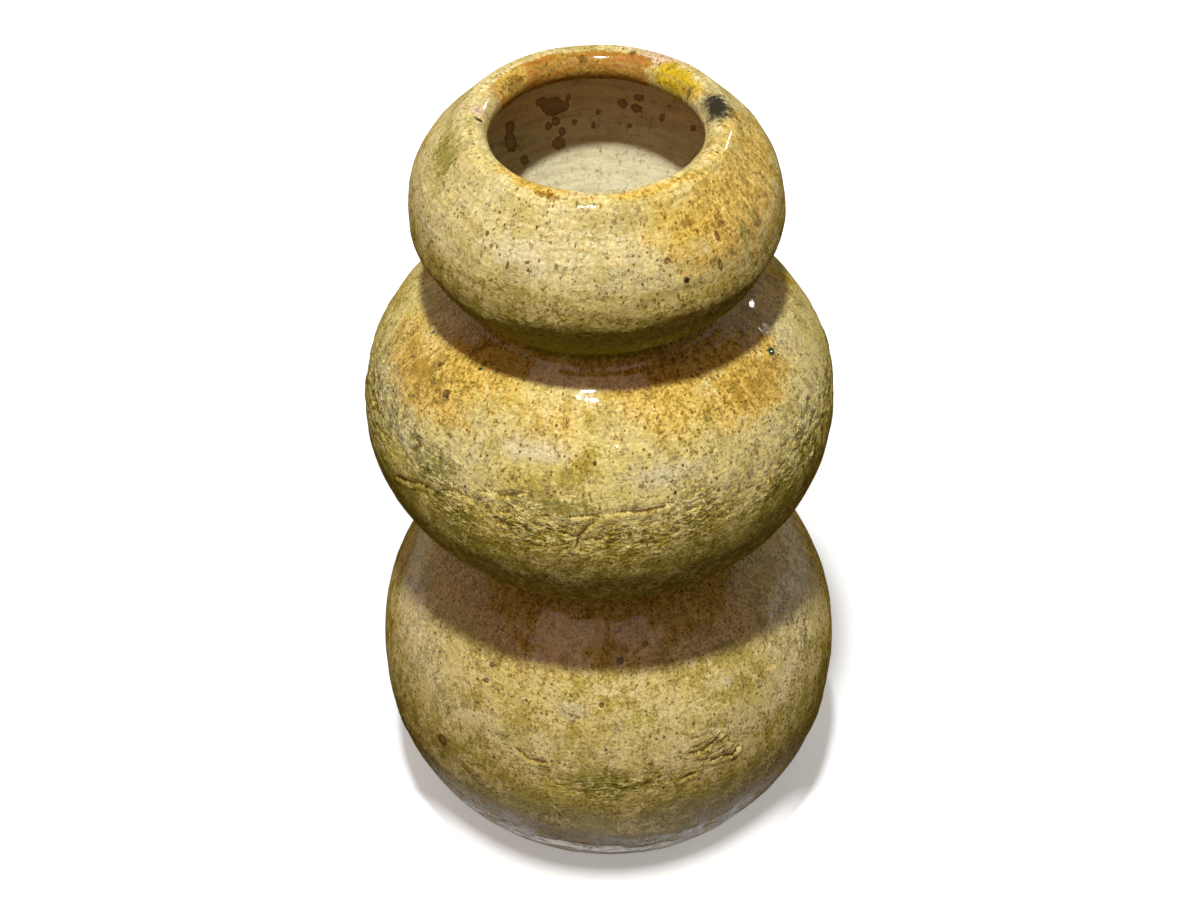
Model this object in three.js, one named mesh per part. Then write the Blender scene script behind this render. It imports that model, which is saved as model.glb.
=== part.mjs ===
// A hand-thrown glazed vase of three stacked bulbs with a rolled lip.
//
// Each bulb is two thrown sections, a bowl and a shoulder, luted rim to rim near the belly with a ring of
// slip. The bulbs are luted to each other at two waists, where a coil of clay is worked into the groove.
// Millimetres, +Z up, the vase standing on z = 0 with its axis on the Z axis.

import * as THREE from "three";

// Thickness of the clay
const WALL = 6;
const FLOOR = 8;

// Bottom bulb: widest radius, height of the belly's lower and upper half, and seam above the belly
const BOTTOM_RADIUS = 83.6;
const BOTTOM_DROP = 77.1;
const BOTTOM_RISE = 79;
const BOTTOM_SEAM = 20;
const BOTTOM_SEAM_PROUD = 0.3;

// Middle bulb
const MIDDLE_RADIUS = 76.3;
const MIDDLE_DROP = 54;
const MIDDLE_RISE = 55.9;
const MIDDLE_SEAM = 13;
const MIDDLE_SEAM_PROUD = 0.3;

// Top bulb, whose seam lies just under its belly and shows as a ridge
const TOP_RADIUS = 55.6;
const TOP_DROP = 36.2;
const TOP_RISE = 34.3;
const TOP_SEAM = -4;
const TOP_SEAM_PROUD = 0.8;

// Foot: flat underside with a wiped edge
const FOOT_RADIUS = 42;
const FOOT_EDGE = 1.2;

// Waists: outside radius of the luted necks and the clear height between the two bulbs there
const LOWER_WAIST_RADIUS = 38;
const LOWER_WAIST_LENGTH = 6;
const UPPER_WAIST_RADIUS = 38;
const UPPER_WAIST_LENGTH = 2.2;

// Lip: clear mouth, thickness of the roll, and how far its crest stands above the shoulder's own curve
const MOUTH_RADIUS = 31.2;
const LIP_ROLL_RADIUS = 5.2;
const LIP_PROUD = 1.4;
const LIP_FLANK = 4.5;

// Luting slip: thickness between the rims, and the bead that squeezes out inside
const SLIP = 1.2;
const BEAD_HEIGHT = 5;
const BEAD_DEPTH = 2;

// Waist coil: how far it covers each bulb, its thickness at the waist and at its smeared edges
const COIL_REACH = 5;
const COIL_THICKNESS = 1.8;
const COIL_EDGE = 0.8;

// Gap between a bead or coil and the wall that it lies against
const CLEARANCE = 0.3;

// Section of the bulbs: 2 is a true ellipse, more is fuller
const FULLNESS = 2.1;

// Lip arc, in degrees anticlockwise from straight outwards
const LIP_ARC_START = 45;
const LIP_ARC_END = 250;
// Where the underside of the lip runs into the inner wall, in degrees above the belly
const LIP_ROOT = 30;

// Facets round the axis, and along each stretch of a profile
const TURN_STEPS = 40;
const SKIN_STEP = THREE.MathUtils.degToRad(10);
const LIP_STEPS = 9;
const BLEND_STEPS = 3;
const BEAD_STEPS = 4;

// Finishes: a glossy glaze in three tones, and the drier slip of the joints
const STRAW_GLAZE = { color: 0xc9a85c, roughness: 0.2, metalness: 0 };
const AMBER_GLAZE = { color: 0xb98a3c, roughness: 0.2, metalness: 0 };
const OLIVE_GLAZE = { color: 0xa8905a, roughness: 0.2, metalness: 0 };
const BUFF_SLIP = { color: 0xb9a07a, roughness: 0.5, metalness: 0 };

const lowerWaist = { radius: LOWER_WAIST_RADIUS, length: LOWER_WAIST_LENGTH };
const upperWaist = { radius: UPPER_WAIST_RADIUS, length: UPPER_WAIST_LENGTH };
const bottom = { radius: BOTTOM_RADIUS, drop: BOTTOM_DROP, rise: BOTTOM_RISE, proud: BOTTOM_SEAM_PROUD };
const middle = { radius: MIDDLE_RADIUS, drop: MIDDLE_DROP, rise: MIDDLE_RISE, proud: MIDDLE_SEAM_PROUD };
const top = { radius: TOP_RADIUS, drop: TOP_DROP, rise: TOP_RISE, proud: TOP_SEAM_PROUD };

const point = (radius, height) => new THREE.Vector2(radius, height);
const radians = THREE.MathUtils.degToRad;

// A bulb's skin is a fuller ellipse, followed by an angle from its belly. Depth is how far inside the
// outer skin the curve lies: 0 for the outer face, WALL for the inner one.
function skinPoint(bulb, depth, angle) {
  const half = angle < 0 ? bulb.drop : bulb.rise;
  const across = Math.cos(angle) ** (2 / FULLNESS);
  const along = Math.sign(angle) * Math.abs(Math.sin(angle)) ** (2 / FULLNESS);
  return point((bulb.radius - depth) * across, bulb.belly + (half - depth) * along);
}

function angleAtRadius(bulb, depth, radius) {
  return Math.acos((radius / (bulb.radius - depth)) ** (FULLNESS / 2));
}

function angleAtHeight(bulb, depth, height) {
  const above = height - bulb.belly;
  const half = above < 0 ? bulb.drop : bulb.rise;
  return Math.sign(above) * Math.asin((Math.abs(above) / (half - depth)) ** (FULLNESS / 2));
}

function radiusAtHeight(bulb, depth, height) {
  return skinPoint(bulb, depth, angleAtHeight(bulb, depth, height)).x;
}

// Height of the skin above or below the belly where it has narrowed to a radius.
function reach(bulb, radius, half) {
  return half * Math.sin(angleAtRadius(bulb, 0, radius)) ** (2 / FULLNESS);
}

function skinArc(bulb, depth, from, to) {
  const steps = Math.ceil(Math.abs(to - from) / SKIN_STEP);
  return Array.from(
    { length: steps + 1 }, (_, i) => skinPoint(bulb, depth, from + ((to - from) * i) / steps));
}

// The bulbs are stacked from the foot up, each waist resting on the bulb below it.
function stack() {
  bottom.belly = reach(bottom, FOOT_RADIUS, bottom.drop);
  lowerWaist.start = bottom.belly + reach(bottom, lowerWaist.radius, bottom.rise);
  lowerWaist.joint = lowerWaist.start + lowerWaist.length / 2;
  middle.belly = lowerWaist.start + lowerWaist.length + reach(middle, lowerWaist.radius, middle.drop);
  upperWaist.start = middle.belly + reach(middle, upperWaist.radius, middle.rise);
  upperWaist.joint = upperWaist.start + upperWaist.length / 2;
  top.belly = upperWaist.start + upperWaist.length + reach(top, upperWaist.radius, top.drop);
  bottom.seam = bottom.belly + BOTTOM_SEAM;
  middle.seam = middle.belly + MIDDLE_SEAM;
  top.seam = top.belly + TOP_SEAM;
}

stack();

// A closed profile turned about the Z axis. Profiles run up the outside and down the inside.
function turned(name, profile, finish) {
  const geometry = new THREE.LatheGeometry(profile, TURN_STEPS);
  geometry.rotateX(Math.PI / 2);
  const mesh = new THREE.Mesh(geometry, new THREE.MeshStandardMaterial(finish));
  mesh.name = name;
  return mesh;
}

const closed = (profile) => [...profile, profile[0]];

// Bowl with the floor and the flat foot, up to its rim at the belly seam.
function footedBowl(bulb) {
  const rim = bulb.seam - SLIP / 2;
  const outer = skinArc(
    bulb, 0, angleAtHeight(bulb, 0, FOOT_EDGE), angleAtHeight(bulb, 0, rim));
  const inner = skinArc(
    bulb, WALL, angleAtHeight(bulb, WALL, rim), angleAtHeight(bulb, WALL, FLOOR));
  return [point(0, 0), point(FOOT_RADIUS - FOOT_EDGE, 0), ...outer, ...inner, point(0, FLOOR)];
}

// Bowl that stands on a waist: a short neck, opening to its rim at the belly seam.
function neckedBowl(bulb, waist) {
  const rim = bulb.seam - SLIP / 2;
  const neck = waist.joint + SLIP / 2;
  const bore = waist.radius - WALL;
  const outer = skinArc(
    bulb, 0, -angleAtRadius(bulb, 0, waist.radius), angleAtHeight(bulb, 0, rim));
  const inner = skinArc(
    bulb, WALL, angleAtHeight(bulb, WALL, rim), -angleAtRadius(bulb, WALL, bore));
  return closed([point(waist.radius, neck), ...outer, ...inner, point(bore, neck)]);
}

// Shoulder from the belly seam up to the neck of the waist above it.
function neckedShoulder(bulb, waist) {
  const rim = bulb.seam + SLIP / 2;
  const neck = waist.joint - SLIP / 2;
  const bore = waist.radius - WALL;
  const outer = skinArc(
    bulb, 0, angleAtHeight(bulb, 0, rim), angleAtRadius(bulb, 0, waist.radius));
  const inner = skinArc(
    bulb, WALL, angleAtRadius(bulb, WALL, bore), angleAtHeight(bulb, WALL, rim));
  return closed([...outer, point(waist.radius, neck), point(bore, neck), ...inner]);
}

const lipCentre = point(MOUTH_RADIUS + LIP_ROLL_RADIUS, 0);
const lipSeat = skinPoint(top, 0, angleAtRadius(top, 0, lipCentre.x));
lipCentre.y = lipSeat.y + LIP_PROUD - LIP_ROLL_RADIUS;

function lipPoint(degrees) {
  const angle = radians(degrees);
  return point(
    lipCentre.x + LIP_ROLL_RADIUS * Math.cos(angle), lipCentre.y + LIP_ROLL_RADIUS * Math.sin(angle));
}

const lipHeading = (degrees) => point(-Math.sin(radians(degrees)), Math.cos(radians(degrees)));

// Smooth run between two points with the headings that it has there, ends left out.
function blend(from, fromHeading, to, toHeading) {
  const handle = from.distanceTo(to) / 3;
  const curve = new THREE.CubicBezierCurve(
    from, from.clone().addScaledVector(fromHeading, handle),
    to.clone().addScaledVector(toHeading, -handle), to);
  return curve.getPoints(BLEND_STEPS).slice(1, -1);
}

// Direction of the skin as the angle grows, over a small step.
function skinHeading(bulb, depth, angle) {
  const step = 0.01;
  return skinPoint(bulb, depth, angle + step).sub(skinPoint(bulb, depth, angle)).normalize();
}

// Shoulder of the top bulb with the rolled lip, hollowed slightly where the lip rises from it.
function lippedShoulder(bulb) {
  const rim = bulb.seam + SLIP / 2;
  const flankAngle = angleAtRadius(bulb, 0, lipCentre.x + LIP_ROLL_RADIUS + LIP_FLANK);
  const rootAngle = radians(LIP_ROOT);
  const outer = skinArc(bulb, 0, angleAtHeight(bulb, 0, rim), flankAngle);
  const inner = skinArc(bulb, WALL, rootAngle, angleAtHeight(bulb, WALL, rim));
  const sweep = LIP_ARC_END - LIP_ARC_START;
  const roll = Array.from(
    { length: LIP_STEPS + 1 }, (_, i) => lipPoint(LIP_ARC_START + (sweep * i) / LIP_STEPS));
  const flank = blend(
    outer.at(-1), skinHeading(bulb, 0, flankAngle), roll[0], lipHeading(LIP_ARC_START));
  const root = blend(
    roll.at(-1), lipHeading(LIP_ARC_END), inner[0], skinHeading(bulb, WALL, rootAngle).negate());
  return closed([...outer, ...flank, ...roll, ...root, ...inner]);
}

// Bead of squeezed slip on the inside of a joint, from its upper edge round to its lower one.
function bead(radius, height) {
  const curve = new THREE.EllipseCurve(
    radius, height, BEAD_DEPTH, BEAD_HEIGHT / 2, Math.PI / 2, (3 * Math.PI) / 2);
  return curve.getPoints(BEAD_STEPS);
}

// Slip between the rims of a bowl and a shoulder, with a ridge outside and the bead inside.
function bellySeam(bulb) {
  const low = bulb.seam - SLIP / 2;
  const high = bulb.seam + SLIP / 2;
  const face = radiusAtHeight(bulb, 0, bulb.seam) + bulb.proud;
  const beadSeat = Math.min(
    radiusAtHeight(bulb, WALL, bulb.seam - BEAD_HEIGHT / 2),
    radiusAtHeight(bulb, WALL, bulb.seam + BEAD_HEIGHT / 2)) - CLEARANCE;
  return closed([
    point(radiusAtHeight(bulb, 0, low), low), point(face, bulb.seam),
    point(radiusAtHeight(bulb, 0, high), high), point(beadSeat, high),
    ...bead(beadSeat, bulb.seam), point(beadSeat, low)]);
}

// Slip between the two necks of a waist, flush outside and with the bead inside.
function waistSeam(waist) {
  const low = waist.joint - SLIP / 2;
  const high = waist.joint + SLIP / 2;
  const beadSeat = waist.radius - WALL - CLEARANCE;
  return closed([
    point(waist.radius, low), point(waist.radius, high), point(beadSeat, high),
    ...bead(beadSeat, waist.joint), point(beadSeat, low)]);
}

// Clay coil worked into the groove between two bulbs, with a hollow face and smeared edges.
function waistCoil(below, waist, above) {
  const back = waist.radius + CLEARANCE;
  const edge = waist.radius + COIL_REACH;
  const middleRadius = (back + edge) / 2;
  const floorAt = (radius) => below.belly + reach(below, radius, below.rise) + CLEARANCE;
  const roofAt = (radius) => above.belly - reach(above, radius, above.drop) - CLEARANCE;
  const lowEdge = point(edge, floorAt(edge) + COIL_EDGE);
  const highEdge = point(edge, roofAt(edge) - COIL_EDGE);
  const waistFace = point(2 * (back + COIL_THICKNESS) - edge, waist.joint);
  const face = new THREE.QuadraticBezierCurve(lowEdge, waistFace, highEdge).getPoints(2 * BLEND_STEPS);
  return closed([
    point(back, floorAt(back)), point(middleRadius, floorAt(middleRadius)), point(edge, floorAt(edge)),
    ...face,
    point(edge, roofAt(edge)), point(middleRadius, roofAt(middleRadius)), point(back, roofAt(back))]);
}

const vase = new THREE.Group();
vase.name = "vase";
vase.add(
  turned("bottom_bowl", footedBowl(bottom), OLIVE_GLAZE),
  turned("bottom_belly_seam", bellySeam(bottom), BUFF_SLIP),
  turned("bottom_shoulder", neckedShoulder(bottom, lowerWaist), STRAW_GLAZE),
  turned("lower_waist_seam", waistSeam(lowerWaist), BUFF_SLIP),
  turned("lower_waist_coil", waistCoil(bottom, lowerWaist, middle), AMBER_GLAZE),
  turned("middle_bowl", neckedBowl(middle, lowerWaist), OLIVE_GLAZE),
  turned("middle_belly_seam", bellySeam(middle), BUFF_SLIP),
  turned("middle_shoulder", neckedShoulder(middle, upperWaist), AMBER_GLAZE),
  turned("upper_waist_seam", waistSeam(upperWaist), BUFF_SLIP),
  turned("upper_waist_coil", waistCoil(middle, upperWaist, top), AMBER_GLAZE),
  turned("top_bowl", neckedBowl(top, upperWaist), OLIVE_GLAZE),
  turned("top_belly_seam", bellySeam(top), BUFF_SLIP),
  turned("top_shoulder", lippedShoulder(top), STRAW_GLAZE));

export default vase;
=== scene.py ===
"""Looks of a hand-thrown glazed vase of three stacked bulbs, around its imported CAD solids.

Every solid is replaced by a finer closed piece on the same turned profile, with throwing rings, seam
ridges, cracks and pits in its mesh. Metres, +Z up, and the photographed side faces -Y.
"""
import math

import bpy
import numpy as np
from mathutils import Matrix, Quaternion, Vector


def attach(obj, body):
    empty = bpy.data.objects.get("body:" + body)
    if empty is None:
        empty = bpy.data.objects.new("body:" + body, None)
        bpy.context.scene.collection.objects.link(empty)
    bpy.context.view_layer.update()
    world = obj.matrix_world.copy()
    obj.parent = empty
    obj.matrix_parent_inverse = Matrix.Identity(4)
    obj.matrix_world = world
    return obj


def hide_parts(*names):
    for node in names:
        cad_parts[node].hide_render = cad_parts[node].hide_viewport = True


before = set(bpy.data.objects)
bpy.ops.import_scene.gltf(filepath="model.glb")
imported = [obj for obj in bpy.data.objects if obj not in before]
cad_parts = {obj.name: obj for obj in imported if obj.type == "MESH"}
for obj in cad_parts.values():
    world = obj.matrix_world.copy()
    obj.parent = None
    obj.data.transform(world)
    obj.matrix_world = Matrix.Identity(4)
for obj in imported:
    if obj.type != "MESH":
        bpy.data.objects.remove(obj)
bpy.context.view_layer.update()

MM = 0.001

# Clay, at the sizes of the CAD solids
WALL = 6 * MM
FLOOR = 8 * MM
FULLNESS = 2.1
FOOT_RADIUS = 42 * MM
FOOT_EDGE = 1.2 * MM
SLIP = 1.2 * MM
BEAD_HEIGHT = 5 * MM
BEAD_DEPTH = 2 * MM
COIL_REACH = 5 * MM
CLEARANCE = 0.3 * MM
WAIST_RADIUS = 38 * MM
LOWER_WAIST_LENGTH = 6 * MM
UPPER_WAIST_LENGTH = 2.2 * MM
MOUTH_RADIUS = 31.2 * MM
LIP_ROLL_RADIUS = 5.2 * MM
LIP_PROUD = 1.4 * MM
LIP_FLANK = 4.5 * MM
LIP_ARC = (45, 250)
LIP_ROOT = 30

# The upper bulbs sit a little to the left of the bottom one
MIDDLE_LEAN = -2.4 * MM
TOP_LEAN = -0.5 * MM

# Fineness of the meshes
COLUMNS = 600
ROW_STEP = 0.85 * MM
HIDDEN_ROWS = 16
FINE = 400
COIL_PULL = 0.45
BEAD_STEPS = 9
UNDER_COIL_ROWS = 4

UP = np.array([0.0, 0.0, 1.0])


class Bulb:
    """A turned bulb: a fuller ellipse of revolution with a seam above or below its belly."""

    def __init__(self, radius, drop, rise, seam):
        self.radius = radius * MM
        self.drop = drop * MM
        self.rise = rise * MM
        self.seam_above = seam * MM
        self.belly = 0.0

    def skin(self, angle, depth=0.0):
        """Points (radius, height) at angles from the belly, depth inside the outer face."""
        angle = np.asarray(angle, float)
        half = np.where(angle < 0, self.drop, self.rise) - depth
        across = np.cos(angle) ** (2 / FULLNESS)
        along = np.sign(angle) * np.abs(np.sin(angle)) ** (2 / FULLNESS)
        return np.stack([(self.radius - depth) * across, self.belly + half * along], -1)

    def angle_at_radius(self, radius, depth=0.0):
        return np.arccos((radius / (self.radius - depth)) ** (FULLNESS / 2))

    def angle_at_height(self, height, depth=0.0):
        above = height - self.belly
        half = (self.drop if above < 0 else self.rise) - depth
        return np.sign(above) * np.arcsin((abs(above) / half) ** (FULLNESS / 2))

    def reach(self, radius, half):
        """Height of the skin above or below the belly where it has narrowed to a radius."""
        return half * np.sin(self.angle_at_radius(radius)) ** (2 / FULLNESS)

    def arc(self, start, end, count, depth=0.0):
        return self.skin(np.linspace(start, end, count), depth)

    @property
    def seam(self):
        return self.belly + self.seam_above


bottom = Bulb(radius=83.6, drop=77.1, rise=79, seam=20)
middle = Bulb(radius=76.3, drop=54, rise=55.9, seam=13)
top = Bulb(radius=55.6, drop=36.2, rise=34.3, seam=-4)

bottom.belly = bottom.reach(FOOT_RADIUS, bottom.drop)
lower_waist = bottom.belly + bottom.reach(WAIST_RADIUS, bottom.rise)
middle.belly = lower_waist + LOWER_WAIST_LENGTH + middle.reach(WAIST_RADIUS, middle.drop)
upper_waist = middle.belly + middle.reach(WAIST_RADIUS, middle.rise)
top.belly = upper_waist + UPPER_WAIST_LENGTH + top.reach(WAIST_RADIUS, top.drop)
lower_joint = lower_waist + LOWER_WAIST_LENGTH / 2
upper_joint = upper_waist + UPPER_WAIST_LENGTH / 2
bore = WAIST_RADIUS - WALL
coil_edge = WAIST_RADIUS + COIL_REACH
lip_radius = MOUTH_RADIUS + LIP_ROLL_RADIUS
lip_height = top.skin(top.angle_at_radius(lip_radius))[1] + LIP_PROUD - LIP_ROLL_RADIUS


def smooth(low, high, value):
    """0 below low, 1 above high, eased between."""
    t = np.clip((value - low) / (high - low), 0, 1)
    return t * t * (3 - 2 * t)


def fillet(before, after, count, pull=1 / 3):
    """Smooth run from the end of one polyline to the start of the next, along both headings."""
    a, d = before[-1], after[0]
    leave, arrive = before[-1] - before[-2], after[1] - after[0]
    handle = np.linalg.norm(d - a) * pull
    b = a + leave / np.linalg.norm(leave) * handle
    c = d - arrive / np.linalg.norm(arrive) * handle
    t = np.linspace(0, 1, count)[:, None]
    return (1 - t) ** 3 * a + 3 * (1 - t) ** 2 * t * b + 3 * (1 - t) * t ** 2 * c + t ** 3 * d


# Master profile: up the outside from the foot, over the lip and down the inside of the top bulb
foot_edge = np.array([[FOOT_RADIUS - 2 * FOOT_EDGE, 0.0], [FOOT_RADIUS - FOOT_EDGE, 0.0]])
bottom_skin = bottom.arc(bottom.angle_at_height(FOOT_EDGE), bottom.angle_at_radius(coil_edge), FINE)
middle_skin = middle.arc(-middle.angle_at_radius(coil_edge), middle.angle_at_radius(coil_edge), FINE)
flank = top.angle_at_radius(lip_radius + LIP_ROLL_RADIUS + LIP_FLANK)
top_skin = top.arc(-top.angle_at_radius(coil_edge), flank, FINE)
roll = np.radians(np.linspace(*LIP_ARC, FINE))
lip_roll = np.stack([lip_radius + LIP_ROLL_RADIUS * np.cos(roll),
                     lip_height + LIP_ROLL_RADIUS * np.sin(roll)], -1)
inside_skin = top.arc(np.radians(LIP_ROOT), -top.angle_at_radius(bore, WALL), FINE, WALL)
lower_coil = fillet(bottom_skin, middle_skin, FINE, COIL_PULL)
upper_coil = fillet(middle_skin, top_skin, FINE, COIL_PULL)
runs = [fillet(foot_edge, bottom_skin, FINE), bottom_skin, lower_coil, middle_skin, upper_coil, top_skin,
        fillet(top_skin, lip_roll, FINE), lip_roll, fillet(lip_roll, inside_skin, FINE), inside_skin]
profile = np.concatenate([runs[0]] + [run[1:] for run in runs[1:]])
along = np.concatenate([[0], np.cumsum(np.linalg.norm(np.diff(profile, axis=0), axis=1))])
crest_index = int(np.argmax(profile[:, 1]))
crest = along[crest_index]


def outside(height):
    """Distance along the profile of a height on the outside."""
    return float(np.interp(height, profile[:crest_index + 1, 1], along[:crest_index + 1]))


def inside(height):
    """Distance along the profile of a height on the inside of the top bulb."""
    return float(np.interp(height, profile[crest_index:, 1][::-1], along[crest_index:][::-1]))


def end_of(run):
    return float(along[np.argmin(np.linalg.norm(profile - run[-1], axis=1))])


# Rings of the master surface, cut where one section of clay ends and the next starts
cuts = [
    ("bottom_bowl", 0.0), ("bottom_belly_seam", outside(bottom.seam - SLIP / 2)),
    ("bottom_shoulder", outside(bottom.seam + SLIP / 2)), ("lower_waist_coil", end_of(bottom_skin)),
    ("middle_bowl", end_of(lower_coil)), ("middle_belly_seam", outside(middle.seam - SLIP / 2)),
    ("middle_shoulder", outside(middle.seam + SLIP / 2)), ("upper_waist_coil", end_of(middle_skin)),
    ("top_bowl", end_of(upper_coil)), ("top_belly_seam", outside(top.seam - SLIP / 2)),
    ("top_shoulder", outside(top.seam + SLIP / 2)), ("top_seam_inside", inside(top.seam + SLIP / 2)),
    ("top_bowl_inside", inside(top.seam - SLIP / 2)), ("end", along[-1])]
rows = [0.0]
row_range = {}
for (name, start), (_, end) in zip(cuts, cuts[1:]):
    steps = max(2, round((end - start) / ROW_STEP))
    first = len(rows) - 1
    rows += list(np.linspace(start, end, steps + 1)[1:])
    row_range[name] = slice(first, len(rows))
rows = np.array(rows)

headings = np.linspace(-np.pi, np.pi, COLUMNS, endpoint=False)
outward = np.stack([np.sin(headings), -np.cos(headings), 0 * headings], -1)
row_radius = np.interp(rows, along, profile[:, 0])
row_height = np.interp(rows, along, profile[:, 1])
tangent = np.stack([np.gradient(row_radius, rows), np.gradient(row_height, rows)], -1)
tangent /= np.linalg.norm(tangent, axis=1)[:, None]


def ring_points(radius, height):
    """Grid of points for radii and heights of each ring, or of each point, leaning with the vase."""
    radius = np.broadcast_to(np.reshape(radius, (len(radius), -1)), (len(radius), COLUMNS))
    height = np.broadcast_to(np.reshape(height, (len(height), -1)), (len(height), COLUMNS))
    points = radius[..., None] * outward + height[..., None] * UP
    points[..., 0] += MIDDLE_LEAN * smooth(bottom.seam, middle.belly, height)
    points[..., 0] += TOP_LEAN * smooth(middle.belly, top.belly, height)
    return points


# Seeded gradient noise
shuffle = np.random.RandomState(7)
PERMUTATION = np.tile(shuffle.permutation(256), 3)
GRADIENTS = shuffle.normal(size=(256, 3))
GRADIENTS /= np.linalg.norm(GRADIENTS, axis=1)[:, None]
NOISE_STEP = np.array([17.3, 5.1, 9.7])
NOISE_GAIN = 1.6


def noise(points, size, seed=0):
    """Gradient noise from about -1 to 1 with features of a size in millimetres."""
    p = points / (size * MM) + NOISE_STEP * (seed + 1)
    cell = np.floor(p).astype(int)
    part = p - cell
    fade = part ** 3 * (part * (part * 6 - 15) + 10)
    cell &= 255
    value = np.zeros(points.shape[:-1])
    for corner in np.ndindex(2, 2, 2):
        key = PERMUTATION[cell[..., 0] + corner[0]]
        key = PERMUTATION[key + cell[..., 1] + corner[1]]
        key = PERMUTATION[key + cell[..., 2] + corner[2]]
        slope = ((part - corner) * GRADIENTS[key]).sum(-1)
        weight = np.where(corner, fade, 1 - fade).prod(-1)
        value += weight * slope
    return NOISE_GAIN * value


plain = ring_points(row_radius, row_height)
TURN_RADIUS = 70 * MM
turn = np.stack(np.broadcast_arrays(
    TURN_RADIUS * outward[None, :, 0], TURN_RADIUS * outward[None, :, 1], rows[:, None]), -1)

# Places of marks: headings in degrees from the front, positive to the right, and lengths in millimetres
degrees = np.degrees(headings)[None, :]
tall = row_height[:, None] / MM
past = (rows[:, None] - crest) / MM
swirl = noise(plain, 40, seed=11)
drift = noise(plain, 16, seed=12)
ragged = noise(plain, 6, seed=13) + 0.6 * noise(plain, 2.4, seed=14)


def at(height):
    """Place of a height on the outside, counted from the lip's crest."""
    return (outside(height * MM) - crest) / MM


def turned_from(heading):
    """Millimetres around each ring from a heading."""
    return np.radians((degrees - heading + 180) % 360 - 180) * row_radius[:, None] / MM


def spread(heading, place, wide, high, rough=0.25):
    """1 in the middle of a mark, 0 at its ragged edge and beyond."""
    return np.clip(1 - np.hypot(turned_from(heading) / wide, (past - place) / high) + rough * ragged, 0, 1)


def drawn(points, reach):
    """Signed distance across a line over (heading, place) points, in millimetres, at most reach."""
    nearest = np.full(plain.shape[:2], float(reach))
    signed = nearest.copy()
    for (h0, p0), (h1, p1) in zip(points, points[1:]):
        x, y = turned_from(h0), past - p0
        run = np.radians(h1 - h0) * row_radius[:, None] / MM
        rise = p1 - p0
        length = np.hypot(run, rise)
        part = np.clip((x * run + y * rise) / length ** 2, 0, 1)
        gap = np.hypot(x - part * run, y - part * rise)
        closer = gap < nearest
        side = np.where(run * y - rise * x < 0, -1.0, 1.0)
        nearest = np.where(closer, gap, nearest)
        signed = np.where(closer, side * gap, signed)
    return signed


LAYERS = ("amber", "olive", "pale", "pink", "yellow", "gold", "terra", "burnt", "brown", "dark", "green",
          "crust", "lump", "bare", "dry", "wet", "sparkle")
paint = {layer: np.zeros(plain.shape[:2]) for layer in LAYERS}


def lay(layer, value):
    paint[layer] = np.maximum(paint[layer], value)


# The bulb that a ring belongs to, by the heights of the two grooves
LOWER_GROOVE = (140, 146)
UPPER_GROOVE = (242, 246)
on_top = smooth(*UPPER_GROOVE, tall)
on_bottom = 1 - smooth(*LOWER_GROOVE, tall)
on_middle = 1 - on_top - on_bottom

# Broad fields of glaze on the top bulb
lay("pale", on_top * (0.55 + 0.35 * drift) * smooth(266, 284, tall))
lay("olive", on_top * (1.1 - smooth(254, 282, tall)) * (1 + 0.5 * drift))
lay("amber", on_top * (0.25 * swirl + 0.2 * drift))
# Broad fields on the middle bulb
lay("amber", on_middle * (smooth(218, 242, tall) * (0.55 + 0.35 * swirl) + 0.3 * drift))
lay("olive", on_middle * (0.7 - 0.56 * smooth(192, 216, tall) + 0.3 * drift + 0.25 * swirl))
lay("pale", on_middle * (0.35 + 0.4 * swirl - 0.2 * drift) * smooth(198, 214, tall))
# Broad fields on the bottom bulb
lay("pink", on_bottom * (0.15 + 0.3 * swirl) * smooth(70, 105, tall))
lay("yellow", on_bottom * (0.1 + 0.4 * drift - 0.2 * swirl))
lay("amber", on_bottom * smooth(110, 130, tall) * (0.4 + 0.3 * swirl))
lay("olive", on_bottom * (0.64 - 0.52 * smooth(64, 104, tall) + 0.35 * drift))

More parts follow.
